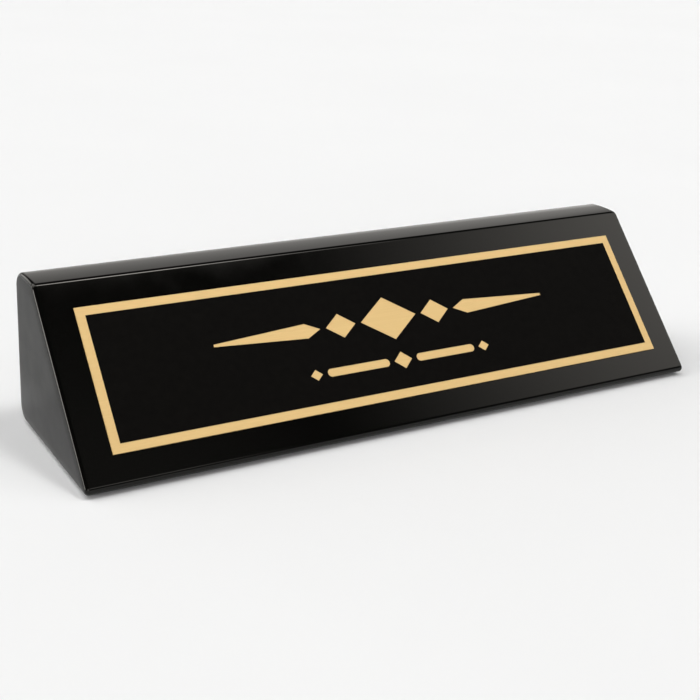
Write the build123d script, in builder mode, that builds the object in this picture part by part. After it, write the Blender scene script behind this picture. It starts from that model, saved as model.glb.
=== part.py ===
"""Desk name plate: a lacquered wedge block with a stuck-on plate and a felt base.

Millimetres. X runs along the block, -Y is the front, +Z is up.
The origin is on the desk, under the middle of the block's bounding box.
"""
import os
from math import cos, radians, sin, tan

from build123d import *

# Block, outside the lacquer
length = 266.7
height = 58.4
top_width = 19.6
slope_angle = 46.8
toe_radius = 1.9
fold_radius = 2.1
back_radius = 6.35
end_radius = 1.6

# Lacquer and the core under it
lacquer_thickness = 0.6
lacquer_return = 3.0
board_names = ("core_base_board", "core_middle_board", "core_top_board")

# Felt under the base
felt_thickness = 1.0
felt_film = 0.1
felt_margin = 1.5

# Plate on the front slope, with its margins to the ends, the toe and the fold
plate_end_margin = 12.3
plate_toe_margin = 9.4
plate_fold_margin = 10.6
plate_thickness = 0.5
plate_film = 0.15
plate_film_inset = 1.0
enamel_thickness = 0.06
border_width = 3.4

# Upper ornament row: a lozenge with two smaller ones and two tapered rules
upper_row_rise = 5.2
lozenge_width = 25.0
lozenge_height = 18.0
side_lozenge_width = 13.0
side_lozenge_height = 10.0
upper_gap = 2.4
upper_rule_length = 44.0
upper_rule_height = 6.0
upper_rule_tip = 1.0

# Lower ornament row: a small lozenge with two short rules and two end lozenges
lower_row_rise = -12.6
small_lozenge_width = 8.0
small_lozenge_height = 7.0
lower_gap = 2.2
lower_rule_length = 27.0
lower_rule_height = 3.2
end_lozenge_width = 5.0
end_lozenge_height = 4.4


# Heights of the base plane and the top face
base_z = felt_thickness + felt_film
top_z = base_z + height

# Sharp corners of the section, before its edges are rounded
half_angle_tan = tan(radians(slope_angle / 2))
slope_run = height / tan(radians(slope_angle))
toe_tangent = toe_radius / half_angle_tan
fold_tangent = fold_radius * half_angle_tan
nose_setback = toe_tangent - toe_radius
depth = slope_run + top_width - nose_setback
back_y = depth / 2
fold_y = back_y - top_width
toe_y = fold_y - slope_run

# Flat stretch of the base between the rounded toe, back and ends
flat_front_y = toe_y + toe_tangent
flat_back_y = back_y - back_radius
flat_length = length - 2 * end_radius
flat_depth = flat_back_y - flat_front_y
base_plane = Plane((0, (flat_front_y + flat_back_y) / 2, base_z))

# Plate size and its plane, centred on the plate, with X along the block and Y up the slope
slope_flat = height / sin(radians(slope_angle)) - toe_tangent - fold_tangent
plate_length = length - 2 * plate_end_margin
plate_height = slope_flat - plate_toe_margin - plate_fold_margin
plate_rise = toe_tangent + plate_toe_margin + plate_height / 2
plate_plane = Plane(
    origin=(
        0,
        toe_y + plate_rise * cos(radians(slope_angle)),
        base_z + plate_rise * sin(radians(slope_angle)),
    ),
    x_dir=(1, 0, 0),
    z_dir=(0, -sin(radians(slope_angle)), cos(radians(slope_angle))),
)
sheet_plane = plate_plane.offset(plate_film)
enamel_plane = sheet_plane.offset(plate_thickness)


def wedge(inset):
    """The eased wedge block, with every face moved in by inset."""
    with BuildPart() as block:
        with BuildSketch(Plane.YZ):
            with BuildLine():
                FilletPolyline(
                    (toe_y, base_z),
                    (back_y, base_z),
                    (back_y, top_z),
                    (fold_y, top_z),
                    radius=(toe_radius, back_radius, back_radius, fold_radius),
                    close=True,
                )
            make_face()
            if inset:
                offset(amount=-inset, mode=Mode.REPLACE)
        extrude(amount=length / 2 - inset, both=True)
        for end in (block.faces().sort_by(Axis.X)[0], block.faces().sort_by(Axis.X)[-1]):
            fillet(end.edges(), radius=end_radius - inset)
    return block.part


def core_block():
    """The fibreboard core: the wedge inside the lacquer, bare under the base."""
    with BuildPart() as core:
        add(wedge(lacquer_thickness))
        with BuildSketch(base_plane):
            Rectangle(flat_length - 2 * lacquer_return, flat_depth - 2 * lacquer_return)
        extrude(amount=2 * lacquer_thickness)
    return core.part


def lozenge(width, rise):
    """A diamond cut out of the enamel."""
    Polygon((width / 2, 0), (0, rise / 2), (-width / 2, 0), (0, -rise / 2), mode=Mode.SUBTRACT)


os.makedirs("parts", exist_ok=True)

core = core_block()
board_thickness = height / len(board_names)

# Three boards glued face to face
for number, board_name in enumerate(board_names):
    with BuildPart() as board:
        add(core)
        split(bisect_by=Plane.XY.offset(base_z + number * board_thickness), keep=Keep.TOP)
        split(bisect_by=Plane.XY.offset(base_z + (number + 1) * board_thickness), keep=Keep.BOTTOM)
    board.part.label = board_name
    export_step(board.part, f"parts/{board_name}.step")

# Lacquer all over the core, turned in under the base
with BuildPart() as lacquer_coat:
    add(wedge(0))
    add(core, mode=Mode.SUBTRACT)
lacquer_coat.part.label = "lacquer_coat"
export_step(lacquer_coat.part, "parts/lacquer_coat.step")

# Film and felt under the base
with BuildPart() as felt_adhesive:
    with BuildSketch(base_plane):
        Rectangle(flat_length - 2 * felt_margin, flat_depth - 2 * felt_margin)
    extrude(amount=-felt_film)
felt_adhesive.part.label = "felt_adhesive"
export_step(felt_adhesive.part, "parts/felt_adhesive.step")

with BuildPart() as base_felt:
    with BuildSketch(base_plane.offset(-felt_film)):
        Rectangle(flat_length - 2 * felt_margin, flat_depth - 2 * felt_margin)
    extrude(amount=-felt_thickness)
base_felt.part.label = "base_felt"
export_step(base_felt.part, "parts/base_felt.step")

# Film and brass sheet on the slope
with BuildPart() as plate_adhesive:
    with BuildSketch(plate_plane):
        Rectangle(plate_length - 2 * plate_film_inset, plate_height - 2 * plate_film_inset)
    extrude(amount=plate_film)
plate_adhesive.part.label = "plate_adhesive"
export_step(plate_adhesive.part, "parts/plate_adhesive.step")

with BuildPart() as name_plate:
    with BuildSketch(sheet_plane):
        Rectangle(plate_length, plate_height)
    extrude(amount=plate_thickness)
name_plate.part.label = "name_plate"
export_step(name_plate.part, "parts/name_plate.step")

# Black enamel inside the bare border, cut away at the ornament
side_lozenge_x = lozenge_width / 2 + upper_gap + side_lozenge_width / 2
upper_rule_x = side_lozenge_x + side_lozenge_width / 2 + upper_gap
lower_rule_x = small_lozenge_width / 2 + lower_gap + lower_rule_length / 2
end_lozenge_x = lower_rule_x + lower_rule_length / 2 + lower_gap + end_lozenge_width / 2

with BuildPart() as plate_enamel:
    with BuildSketch(enamel_plane):
        Rectangle(plate_length - 2 * border_width, plate_height - 2 * border_width)
        with Locations((0, upper_row_rise)):
            lozenge(lozenge_width, lozenge_height)
        with Locations((-side_lozenge_x, upper_row_rise), (side_lozenge_x, upper_row_rise)):
            lozenge(side_lozenge_width, side_lozenge_height)
        for side in (-1, 1):
            with Locations((0, upper_row_rise)):
                Polygon(
                    (side * upper_rule_x, 0),
                    (side * (upper_rule_x + upper_rule_height), upper_rule_height / 2),
                    (side * (upper_rule_x + upper_rule_length), upper_rule_tip / 2),
                    (side * (upper_rule_x + upper_rule_length), -upper_rule_tip / 2),
                    (side * (upper_rule_x + upper_rule_height), -upper_rule_height / 2),
                    align=None,
                    mode=Mode.SUBTRACT,
                )
        with Locations((0, lower_row_rise)):
            lozenge(small_lozenge_width, small_lozenge_height)
        with Locations((-lower_rule_x, lower_row_rise), (lower_rule_x, lower_row_rise)):
            SlotOverall(lower_rule_length, lower_rule_height, mode=Mode.SUBTRACT)
        with Locations((-end_lozenge_x, lower_row_rise), (end_lozenge_x, lower_row_rise)):
            lozenge(end_lozenge_width, end_lozenge_height)
    extrude(amount=enamel_thickness)
plate_enamel.part.label = "plate_enamel"
export_step(plate_enamel.part, "parts/plate_enamel.step")
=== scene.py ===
"""Looks of the desk name plate: a piano-lacquered wedge with a gilt-edged plate, in a plain pale studio.

Metres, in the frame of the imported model: X along the block, -Y the front, +Z up.
"""

from math import atan2, cos, pi, radians, sin, sqrt, tan

import bmesh
import bpy
from mathutils import Matrix, Vector, noise


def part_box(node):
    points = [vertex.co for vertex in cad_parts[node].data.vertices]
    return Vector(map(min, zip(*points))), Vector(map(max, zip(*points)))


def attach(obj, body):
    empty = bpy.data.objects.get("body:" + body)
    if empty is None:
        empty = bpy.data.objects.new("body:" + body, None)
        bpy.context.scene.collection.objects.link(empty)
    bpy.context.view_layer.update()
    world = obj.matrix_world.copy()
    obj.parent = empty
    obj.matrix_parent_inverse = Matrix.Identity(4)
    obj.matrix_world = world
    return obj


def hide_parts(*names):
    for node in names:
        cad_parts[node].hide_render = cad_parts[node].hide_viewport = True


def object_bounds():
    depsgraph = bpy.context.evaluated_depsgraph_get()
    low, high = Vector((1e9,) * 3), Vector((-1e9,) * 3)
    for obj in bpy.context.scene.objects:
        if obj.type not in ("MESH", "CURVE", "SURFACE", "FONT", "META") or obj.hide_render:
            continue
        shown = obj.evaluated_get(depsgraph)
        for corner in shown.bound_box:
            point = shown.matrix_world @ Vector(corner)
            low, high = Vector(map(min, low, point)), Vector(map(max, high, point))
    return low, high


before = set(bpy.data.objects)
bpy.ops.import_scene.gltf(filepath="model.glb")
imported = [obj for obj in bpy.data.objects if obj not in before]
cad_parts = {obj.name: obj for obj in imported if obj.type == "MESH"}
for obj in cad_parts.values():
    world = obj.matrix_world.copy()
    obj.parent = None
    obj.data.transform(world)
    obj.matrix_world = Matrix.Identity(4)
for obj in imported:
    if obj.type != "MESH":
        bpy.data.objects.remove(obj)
cad_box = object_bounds()

MM = 0.001
MICRON = 0.001 * MM

# Block, as it is built: slope, rounded edges and coat
SLOPE = radians(46.8)
TOP_WIDTH = 19.6 * MM
TOE_RADIUS = 1.9 * MM
FOLD_RADIUS = 2.1 * MM
BACK_RADIUS = 6.35 * MM
END_RADIUS = 1.6 * MM
COAT = 0.6 * MM
COAT_RETURN = 3.0 * MM

# Outside, the polished top is faintly crowned, and polishing has rounded the fold off at the ends.
# Inside, the crown's radius is so large that the top is flat, and the fold is the same all along
OUTSIDE = {"crown_radius": 75 * MM, "crown_steps": 16, "end_fold": 6 * MM}
INSIDE = {"crown_radius": 1000.0, "crown_steps": 1, "end_fold": FOLD_RADIUS}

# Steps round the other arcs of the section, round an end's edges and over its dome
TOE_STEPS = 28
BACK_STEPS = 24
FOLD_STEPS = 16
EDGE_STEPS = 10
DOME_STEPS = 5

# Rounds that settle the crown's sag, and how near each other two points count as one
SAG_ROUNDS = 6
SAME_POINT = 0.01 * MM

# The ends are faintly domed: their lean at the rim, their rise, the share of the way to the section's
# middle that the rise takes, and how far that middle is from the back and from the base
END_LEAN = radians(8)
END_RISE = 0.2 * MM
END_SHARE = 0.14
SECTION_MIDDLE = 22 * MM

# The ends are polished less than the rest: the roughness they gain at the desk and from a height up.
# It sets in where the square of the outward direction's X goes from the first limit to the second
END_HAZE = (0.23, 0.4)
END_HAZE_HEIGHT = 24 * MM
END_FACING = (0.92, 0.98)

# Plate and felt: eased edges, and the felt's uneven nap with its cells per metre and its pull inwards
PLATE_THICKNESS = 0.5 * MM
PLATE_EDGE = 0.12 * MM
FELT_EDGE = 0.3 * MM
EASED_SEGMENTS = 3
FELT_CELL = 2.0 * MM
FELT_NAP = 0.06 * MM
FELT_NAP_SCALE = 400
FELT_NAP_INWARDS = 0.2

# Where nearly all values of a noise lie
NOISE_RANGE = (0.3, 0.7)

# Camera at the photograph's viewing angle, in degrees, for a square image
IMAGE_PIXELS = 700
CENTRE_PIXEL = (345, 290)
FOCAL_PIXELS = 1294.7
SENSOR_WIDTH = 36.0
CAMERA_AZIMUTH = -30.92
CAMERA_ELEVATION = 18.64
CAMERA_ROLL = 2.6
CAMERA_DISTANCE = 450.2 * MM
CAMERA_TARGET_X = -38.97 * MM
CAMERA_TARGET_RISE = 60.79 * MM

# Side of the square floor
FLOOR_SIZE = 12.0

# Studio: a dim dome, a white band along the horizon that fades out between two heights, and soft round
# lights with a faint warm tint. Each light is its azimuth, its elevation, the angles from its middle
# where it starts to fade and where it ends, and its brightness. All angles are in degrees
DOME = 0.02
HORIZON = 0.92
HORIZON_FADE = (4, 12)
LIGHT_TINT = (1, 0.97, 0.925)
LIGHTS = {
    "window": (73, 38, 0, 24, 3.15),
    "ceiling": (59, 68.5, 1, 11.5, 16.0),
    "skylight": (62, 62.5, 6.5, 9, 3.0),
    "overhead": (-120, 79, 4, 12, 9.0),
    "front": (-25, 22, 10, 34, 2.1),
    "right_front": (23, 37, 2, 9, 2.5),
    "right_front_fill": (20, 48.5, 8, 18, 0.15),
    "left_wall": (-111, 7, 7, 13, 9.0),
    "left_join": (-136, 11, 3, 13, 3.0),
    "left_back": (-160, 15, 5, 12, 2.2),
    "left_fill": (-138, 46, 5, 30, 3.8),
    "back_wall": (156, 6, 20, 34, 0.75),
}

coat_low, coat_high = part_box("lacquer_coat")
fold_y = coat_high.y - TOP_WIDTH
toe_y = fold_y - (coat_high.z - coat_low.z) / tan(SLOPE)


def section_arcs(crown_radius, crown_steps, fold_radius):
    """Arcs round the block's section, as (y, z, radius, first angle, last angle, steps)."""
    back_y = coat_high.y - BACK_RADIUS
    fold_reach = crown_radius - fold_radius
    back_reach = crown_radius - BACK_RADIUS
    # The crown touches the two arcs beside it, which puts their centres sqrt(2 * sag * reach) to its sides,
    # very nearly. Its sag and the fold's place depend on each other
    sag = 0
    for _ in range(SAG_ROUNDS):
        front_y = fold_y + fold_radius * tan(SLOPE / 2) - sag / tan(SLOPE)
        sag = ((back_y - front_y) / (sqrt(fold_reach) + sqrt(back_reach))) ** 2 / 2
    fold_z = coat_high.z - sag - fold_radius
    back_z = coat_high.z - sag - BACK_RADIUS
    crown_y = front_y + sqrt(2 * sag * fold_reach)
    crown_z = coat_high.z - crown_radius
    fold_turn = atan2(fold_z - crown_z, front_y - crown_y)
    back_turn = atan2(back_z - crown_z, back_y - crown_y)
    slope_turn = pi / 2 + SLOPE
    return [
        (coat_low.y + TOE_RADIUS, coat_low.z + TOE_RADIUS, TOE_RADIUS, slope_turn, 1.5 * pi, TOE_STEPS),
        (back_y, coat_low.z + BACK_RADIUS, BACK_RADIUS, 1.5 * pi, 2 * pi, BACK_STEPS),
        (back_y, back_z, BACK_RADIUS, 0, back_turn, BACK_STEPS),
        (crown_y, crown_z, crown_radius, back_turn, fold_turn, crown_steps),
        (front_y, fold_z, fold_radius, fold_turn, slope_turn, FOLD_STEPS),
    ]


def section_ring(arcs, inset):
    """Points and outward directions round the section, moved in by inset."""
    ring = []
    for y, z, radius, first, last, steps in arcs:
        for step in range(steps + 1):
            turn = first + (last - first) * step / steps
            point = Vector((y + (radius - inset) * cos(turn), z + (radius - inset) * sin(turn)))
            # The crown and the arcs beside it share their end points, and each is kept once
            if step > 0 or not ring or (point - ring[-1][0]).length > SAME_POINT:
                ring.append((point, (cos(turn), sin(turn))))
    return ring


def end_rings(inset, end_fold):
    """Rings from the straight length over an end.

    Each is (x, fold radius, inset, turn towards the end, way to the middle).
    """
    radius = END_RADIUS - inset
    last_turn = pi / 2 - END_LEAN
    straight_x = coat_high.x - END_RISE - END_RADIUS * sin(last_turn)
    rings = []
    for step in range(EDGE_STEPS + 1):
        turn = last_turn * step / EDGE_STEPS
        x = straight_x + radius * sin(turn)
        fold = FOLD_RADIUS + (end_fold - FOLD_RADIUS) * sin(turn)
        rings.append((x, fold, inset + radius * (1 - cos(turn)), turn, 0))
    rim_x, rim_fold, rim_inset = rings[-1][:3]
    for step in range(1, DOME_STEPS + 1):
        remaining = 1 - step / DOME_STEPS
        x = rim_x + END_RISE * (1 - remaining ** 2)
        turn = pi / 2 - END_LEAN * remaining
        rings.append((x, rim_fold, rim_inset, turn, END_SHARE * (1 - remaining)))
    return rings


def wedge_skin(inset, crown_radius, crown_steps, end_fold):
    """The eased wedge moved in by inset: points, outward directions, faces, and the base's four corners.

    The flat of the base isn't among the faces.
    """
    middle = Vector((coat_high.y - SECTION_MIDDLE, coat_low.z + SECTION_MIDDLE))
    rings = end_rings(inset, end_fold)
    # From the flat of one end to the flat of the other
    stations = [(-1, *ring) for ring in reversed(rings)] + [(1, *ring) for ring in rings]
    points = []
    directions = []
    for side, x, fold, ring_inset, turn, way in stations:
        ring = section_ring(section_arcs(crown_radius, crown_steps, fold), ring_inset)
        for point, (out_y, out_z) in ring:
            points.append((side * x, *point.lerp(middle, way)))
            directions.append((side * sin(turn), cos(turn) * out_y, cos(turn) * out_z))
    count = len(ring)
    faces = []
    for station in range(len(stations) - 1):
        for step in range(count):
            here = station * count + step
            beside = station * count + (step + 1) % count
            face = (here, beside, beside + count, here + count)
            if station == len(rings) - 1 and step == TOE_STEPS:
                base = face
            else:
                faces.append(face)
    faces.append(tuple(reversed(range(count))))
    faces.append(tuple(range(len(points) - count, len(points))))
    return points, directions, faces, base


def lacquer_mesh():
    """The lacquer as a closed shell: outside, inside, and the lip round the opening under the base."""
    points, directions, faces, base = wedge_skin(0, **OUTSIDE)
    inner_points, inner_directions, inner_faces, inner_base = wedge_skin(COAT, **INSIDE)
    first_inner = len(points)
    points += inner_points
    directions += [(-x, -y, -z) for x, y, z in inner_directions]
    faces += [tuple(corner + first_inner for corner in reversed(face)) for face in inner_faces]
    curved_faces = len(faces)
    corners = len(base)
    loops = [base]
    for rise in (0, COAT):
        loops.append(tuple(range(len(points), len(points) + corners)))
        for corner in base:
            x, y, z = points[corner]
            across = COAT_RETURN if y < 0 else -COAT_RETURN
            along = COAT_RETURN if x < 0 else -COAT_RETURN
            points.append((x + along, y + across, z + rise))
    loops.append(tuple(corner + first_inner for corner in inner_base))
    for outer, inner in zip(loops, loops[1:]):
        for here in range(corners):
            beside = (here + 1) % corners
            faces.append((outer[here], outer[beside], inner[beside], inner[here]))
    mesh = bpy.data.meshes.new("lacquer_skin")
    mesh.from_pydata(points, [], faces)
    mesh.shade_smooth()
    normals = []
    for face in mesh.polygons:
        curved = face.index < curved_faces
        for vertex in face.vertices:
            normals.append(directions[vertex] if curved else face.normal)
    mesh.normals_split_custom_set(normals)
    return mesh


def eased_sheet(name, size, thickness, edge, cell=None):
    """A flat sheet on its own XY plane, its underside at zero, with eased edges and an optional grid."""
    shape = bmesh.new()
    bmesh.ops.create_cube(shape, size=1)
    bmesh.ops.scale(shape, vec=(*size, thickness), verts=shape.verts)
    bmesh.ops.translate(shape, vec=(0, 0, thickness / 2), verts=shape.verts)
    bmesh.ops.bevel(
        shape, geom=shape.edges, offset=edge, segments=EASED_SEGMENTS, profile=0.5, affect="EDGES"
    )
    if cell:
        for axis in (0, 1):
            count = round(size[axis] / cell)
            for step in range(1, count):
                place = Vector()
                place[axis] = size[axis] * (step / count - 0.5)
                across = Vector()
                across[axis] = 1
                everything = [*shape.verts, *shape.edges, *shape.faces]
                bmesh.ops.bisect_plane(shape, geom=everything, plane_co=place, plane_no=across)
    mesh = bpy.data.meshes.new(name)
    shape.to_mesh(mesh)
    shape.free()
    return mesh


def add_piece(name, mesh, node, finish):
    """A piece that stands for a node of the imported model, on its one body."""
    piece = bpy.data.objects.new(name, mesh)
    bpy.context.scene.collection.objects.link(piece)
    mesh.materials.append(finish)
    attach(piece, "root")
    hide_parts(node)
    return piece


def new_material(name):
    """A node material and its shader."""
    made = bpy.data.materials.new(name)
    made.use_nodes = True
    return made, made.node_tree.nodes["Principled BSDF"]


def grain(shader, scale, detail, stretch=(1, 1, 1)):
    """Noise over the object's own coordinates, in cells per metre, from 0 to 1."""
    tree = shader.id_data
    where = tree.nodes.new("ShaderNodeTexCoord")
    mapping = tree.nodes.new("ShaderNodeMapping")
    mapping.inputs["Scale"].default_value = stretch
    texture = tree.nodes.new("ShaderNodeTexNoise")
    texture.inputs["Scale"].default_value = scale
    texture.inputs["Detail"].default_value = detail
    tree.links.new(where.outputs["Object"], mapping.inputs["Vector"])
    tree.links.new(mapping.outputs["Vector"], texture.inputs["Vector"])
    return texture.outputs["Fac"]


def specks(shader, scale, size, share):
    """A mask of sparse round specks: scale in cells per metre, size in cells, share of the cells."""
    tree = shader.id_data
    where = tree.nodes.new("ShaderNodeTexCoord")
    cells = tree.nodes.new("ShaderNodeTexVoronoi")
    cells.inputs["Scale"].default_value = scale
    parts = tree.nodes.new("ShaderNodeSeparateColor")
    tree.links.new(where.outputs["Object"], cells.inputs["Vector"])
    tree.links.new(cells.outputs["Color"], parts.inputs["Color"])
    # A speck fades out over the outer half of its size, and a fifth of the specks are fainter
    near = remap(shader, cells.outputs["Distance"], (1, 0), (0.5 * size, size))
    chosen = remap(shader, parts.outputs["Red"], (0, 1), (1 - share, 1 - 0.8 * share))
    return combine(shader, "MULTIPLY", near, chosen)


def remap(shader, value, to_range, from_range=NOISE_RANGE, blend="LINEAR"):
    """A value taken from one range to another, and held at its ends."""
    tree = shader.id_data
    node = tree.nodes.new("ShaderNodeMapRange")
    node.interpolation_type = blend
    node.inputs["From Min"].default_value, node.inputs["From Max"].default_value = from_range
    node.inputs["To Min"].default_value, node.inputs["To Max"].default_value = to_range
    tree.links.new(value, node.inputs["Value"])
    return node.outputs["Result"]


def combine(shader, operation, first, second):
    """The sum or product of two values."""
    tree = shader.id_data
    node = tree.nodes.new("ShaderNodeMath")
    node.operation = operation
    tree.links.new(first, node.inputs[0])
    tree.links.new(second, node.inputs[1])
    return node.outputs["Value"]


def tones(shader, value, dark, light, from_range=NOISE_RANGE):
    """The shader's colour, from dark to light with a value."""
    tree = shader.id_data
    ramp = tree.nodes.new("ShaderNodeValToRGB")
    for stop, place, colour in zip(ramp.color_ramp.elements, from_range, (dark, light)):
        stop.position = place
        stop.color = (*colour, 1)
    tree.links.new(value, ramp.inputs["Fac"])
    tree.links.new(ramp.outputs["Color"], shader.inputs["Base Color"])


def roughen(shader, value, low, high):
    """The shader's roughness, between two limits with a value."""
    shader.id_data.links.new(remap(shader, value, (low, high)), shader.inputs["Roughness"])


def relief(shader, *layers):
    """Bumps on the shader, as (height, depth in metres) one over the other."""
    tree = shader.id_data
    below = None
    for height, depth in layers:
        bump = tree.nodes.new("ShaderNodeBump")
        bump.inputs["Distance"].default_value = depth
        tree.links.new(height, bump.inputs["Height"])
        if below:
            tree.links.new(below, bump.inputs["Normal"])
        below = bump.outputs["Normal"]
    tree.links.new(below, shader.inputs["Normal"])


def coordinate(shader, kind, axis):
    """One axis of the object's own coordinates, in metres, or of its surface's outward direction."""
    tree = shader.id_data
    where = tree.nodes.new("ShaderNodeTexCoord")
    parts = tree.nodes.new("ShaderNodeSeparateXYZ")
    tree.links.new(where.outputs[kind], parts.inputs["Vector"])
    return parts.outputs[axis]


def end_haze(shader):
    """Polishing haze that is left on the block's ends, and none on its length."""
    out = coordinate(shader, "Normal", "X")
    squarely = combine(shader, "MULTIPLY", out, out)
    ends = remap(shader, squarely, (0, 1), END_FACING)
    height = coordinate(shader, "Object", "Z")
    haze = remap(shader, height, END_HAZE, (0, END_HAZE_HEIGHT))
    return combine(shader, "MULTIPLY", ends, haze)


def lacquer():
    """Black piano lacquer: near mirror, a little polishing haze, orange peel and a few specks of dust."""
    made, shader = new_material("lacquer")
    dust = specks(shader, scale=160, size=0.03, share=0.06)
    tones(shader, dust, dark=(0.002, 0.002, 0.0018), light=(0.2, 0.19, 0.18), from_range=(0, 1))
    polish = remap(shader, grain(shader, scale=90, detail=4), (0.02, 0.07))
    haze = combine(shader, "ADD", polish, end_haze(shader))
    shader.id_data.links.new(haze, shader.inputs["Roughness"])
    orange_peel = grain(shader, scale=25, detail=1)
    fine_peel = grain(shader, scale=600, detail=1)
    relief(shader, (orange_peel, 12 * MICRON), (fine_peel, 0.25 * MICRON))
    shader.inputs["Specular IOR Level"].default_value = 0.25
    shader.inputs["Specular Tint"].default_value = (1, 0.98, 0.94, 1)
    return made


def gilt_brass():
    """Satin gilt sheet, finely brushed along the block."""
    made, shader = new_material("gilt_brass")
    brushing = grain(shader, scale=2500, detail=3, stretch=(0.02, 1, 1))
    tones(shader, brushing, dark=(0.73, 0.51, 0.216), light=(0.77, 0.551, 0.246))
    roughen(shader, brushing, low=0.5, high=0.62)
    relief(shader, (brushing, 2 * MICRON))
    shader.inputs["Metallic"].default_value = 0.3
    return made


def enamel():
    """Flat black coat on the plate, with a fine grain."""
    made, shader = new_material("enamel")
    mottle = grain(shader, scale=400, detail=4)
    tones(shader, mottle, dark=(0.003, 0.0028, 0.0026), light=(0.0043, 0.004, 0.0036))
    roughen(shader, grain(shader, scale=250, detail=3), low=0.5, high=0.56)
    relief(shader, (grain(shader, scale=4000, detail=2), 2 * MICRON))
    shader.inputs["Specular IOR Level"].default_value = 0.02
    return made


def felt():
    """Pressed black felt: matted fibres and a soft sheen."""
    made, shader = new_material("felt")
    fibres = grain(shader, scale=2200, detail=5)
    tones(shader, fibres, dark=(0.008, 0.008, 0.008), light=(0.03, 0.03, 0.03))
    roughen(shader, fibres, low=0.9, high=1.0)
    relief(shader, (fibres, 60 * MICRON))
    shader.inputs["Sheen Weight"].default_value = 0.3
    shader.inputs["Specular IOR Level"].default_value = 0.1
    return made


def fibreboard():
    """Sawn fibreboard: a brown mat of short fibres."""
    made, shader = new_material("fibreboard")
    fibres = grain(shader, scale=1500, detail=5, stretch=(1, 1, 2))
    tones(shader, fibres, dark=(0.27, 0.18, 0.11), light=(0.45, 0.32, 0.21))
    roughen(shader, fibres, low=0.8, high=0.95)
    relief(shader, (fibres, 30 * MICRON))
    return made


def adhesive_film():
    """Soft milky film with faint bubbles."""
    made, shader = new_material("adhesive_film")
    bubbles = grain(shader, scale=900, detail=2)
    tones(shader, bubbles, dark=(0.52, 0.5, 0.43), light=(0.66, 0.64, 0.56))
    roughen(shader, bubbles, low=0.45, high=0.65)
    relief(shader, (bubbles, 8 * MICRON))
    return made


def pale_floor():
    """Plain matt white, with the slightest mottling."""
    made, shader = new_material("pale_floor")
    mottle = grain(shader, scale=6, detail=3)
    tones(shader, mottle, dark=(0.88, 0.906, 0.945), light=(0.89, 0.916, 0.955))
    roughen(shader, grain(shader, scale=300, detail=2), low=0.9, high=1.0)
    shader.inputs["Specular IOR Level"].default_value = 0
    return made


def towards(azimuth, elevation):
    """The direction of a place round the object, in degrees: azimuth 0 is in front of it, 90 at +X."""
    turn = radians(azimuth)
    rise = radians(elevation)
    return Vector((sin(turn) * cos(rise), -cos(turn) * cos(rise), sin(rise)))


def studio_world():
    """The dim dome with its white horizon, and the soft round lights with their tint."""
    world = bpy.data.worlds.new("studio")
    bpy.context.scene.world = world
    world.use_nodes = True
    tree = world.node_tree
    sky = tree.nodes["Background"]
    sky.inputs["Color"].default_value = (1, 1, 1, 1)
    lamps = tree.nodes.new("ShaderNodeBackground")
    lamps.inputs["Color"].default_value = (*LIGHT_TINT, 1)
    both = tree.nodes.new("ShaderNodeAddShader")
    tree.links.new(sky.outputs["Background"], both.inputs[0])
    tree.links.new(lamps.outputs["Background"], both.inputs[1])
    tree.links.new(both.outputs["Shader"], tree.nodes["World Output"].inputs["Surface"])
    where = tree.nodes.new("ShaderNodeTexCoord")

    def angle_from(axis):
        """The angle between the direction looked at and an axis."""
        product = tree.nodes.new("ShaderNodeVectorMath")
        product.operation = "DOT_PRODUCT"
        product.inputs[1].default_value = axis
        tree.links.new(where.outputs["Generated"], product.inputs[0])
        angle = tree.nodes.new("ShaderNodeMath")
        angle.operation = "ARCCOSINE"
        tree.links.new(product.outputs["Value"], angle.inputs[0])
        return angle.outputs["Value"]

    lower, upper = [pi / 2 - radians(height) for height in HORIZON_FADE]
    horizon = remap(sky, angle_from((0, 0, 1)), (DOME, DOME + HORIZON), (upper, lower))
    tree.links.new(horizon, sky.inputs["Strength"])
    total = None
    for azimuth, elevation, inner, outer, brightness in LIGHTS.values():
        angle = angle_from(towards(azimuth, elevation))
        light = remap(lamps, angle, (brightness, 0), (radians(inner), radians(outer)), "SMOOTHSTEP")
        total = combine(lamps, "ADD", total, light) if total else light
    tree.links.new(total, lamps.inputs["Strength"])


def add_camera():
    """The camera at the photograph's viewing angle."""
    data = bpy.data.cameras.new("camera")
    data.sensor_width = SENSOR_WIDTH
    data.lens = FOCAL_PIXELS * SENSOR_WIDTH / IMAGE_PIXELS
    data.shift_x = 0.5 - CENTRE_PIXEL[0] / IMAGE_PIXELS
    data.shift_y = CENTRE_PIXEL[1] / IMAGE_PIXELS - 0.5
    camera = bpy.data.objects.new("camera", data)
    bpy.context.scene.collection.objects.link(camera)
    back = towards(CAMERA_AZIMUTH, CAMERA_ELEVATION)
    level = towards(CAMERA_AZIMUTH + 90, 0)
    roll = radians(CAMERA_ROLL)
    right = level * cos(roll) + back.cross(level) * sin(roll)
    turn = Matrix((right, back.cross(right), back)).transposed()
    target = Vector((CAMERA_TARGET_X, toe_y, coat_low.z + CAMERA_TARGET_RISE))
    camera.matrix_world = Matrix.Translation(target + back * CAMERA_DISTANCE) @ turn.to_4x4()
    bpy.context.scene.camera = camera


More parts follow.
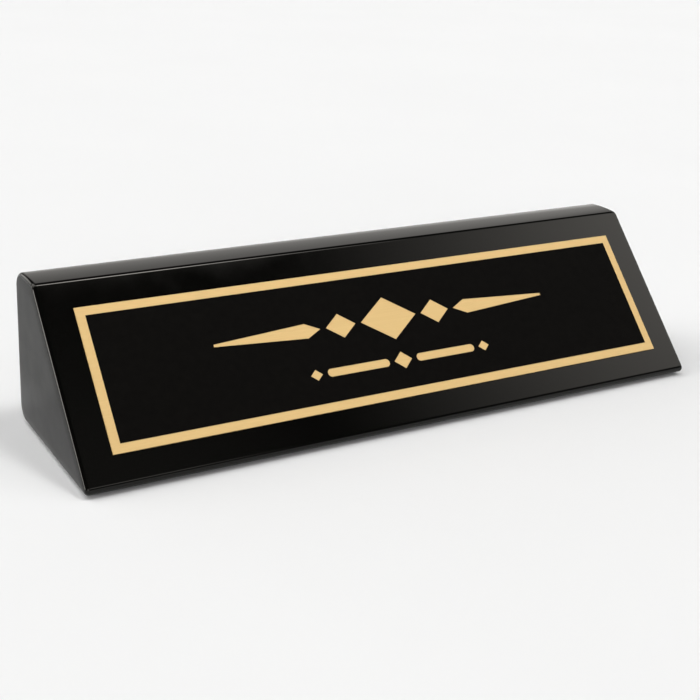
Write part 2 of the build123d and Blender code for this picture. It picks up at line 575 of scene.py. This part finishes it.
def add_floor():
    """A plain floor under the felt."""
    shape = bmesh.new()
    bmesh.ops.create_grid(shape, x_segments=1, y_segments=1, size=FLOOR_SIZE / 2)
    mesh = bpy.data.meshes.new("floor")
    shape.to_mesh(mesh)
    shape.free()
    mesh.materials.append(pale_floor())
    floor = bpy.data.objects.new("floor", mesh)
    bpy.context.scene.collection.objects.link(floor)
    floor.location.z = cad_box[0].z


def plate_sheet():
    """The gilt sheet with its edges broken, laid on the slope."""
    low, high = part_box("name_plate")
    size = high - low
    height = (size.y - PLATE_THICKNESS * sin(SLOPE)) / cos(SLOPE)
    mesh = eased_sheet("plate_sheet", (size.x, height), PLATE_THICKNESS, PLATE_EDGE)
    out = Vector((0, -sin(SLOPE), cos(SLOPE)))
    underside = (low + high) / 2 - out * PLATE_THICKNESS / 2
    mesh.transform(Matrix.Translation(underside) @ Matrix.Rotation(SLOPE, 4, "X"))
    add_piece("plate_sheet", mesh, "name_plate", gilt_brass())


def felt_sheet():
    """The felt with soft edges and a slightly uneven nap."""
    low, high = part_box("base_felt")
    size = high - low
    mesh = eased_sheet("felt_sheet", size.to_2d(), size.z, FELT_EDGE, FELT_CELL)
    mesh.transform(Matrix.Translation((low.x / 2 + high.x / 2, low.y / 2 + high.y / 2, low.z)))
    middle = (low + high) / 2
    for vertex in mesh.vertices:
        if vertex.co.z < high.z - FELT_EDGE / 2:
            pull = FELT_NAP * (0.5 + 0.5 * noise.noise(vertex.co * FELT_NAP_SCALE))
            vertex.co += (middle - vertex.co).normalized() * pull * FELT_NAP_INWARDS
            if vertex.co.z < middle.z:
                vertex.co.z += pull
    mesh.shade_smooth()
    piece = add_piece("felt_sheet", mesh, "base_felt", felt())


add_piece("lacquer_skin", lacquer_mesh(), "lacquer_coat", lacquer())
plate_sheet()
felt_sheet()

film = adhesive_film()
board = fibreboard()
finishes = {
    "plate_enamel": enamel(),
    "plate_adhesive": film,
    "felt_adhesive": film,
    "core_base_board": board,
    "core_middle_board": board,
    "core_top_board": board,
}
for node, finish in finishes.items():
    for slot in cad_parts[node].material_slots:
        slot.material = finish

add_floor()
add_camera()
studio_world()

bpy.context.scene.view_settings.view_transform = "Standard"
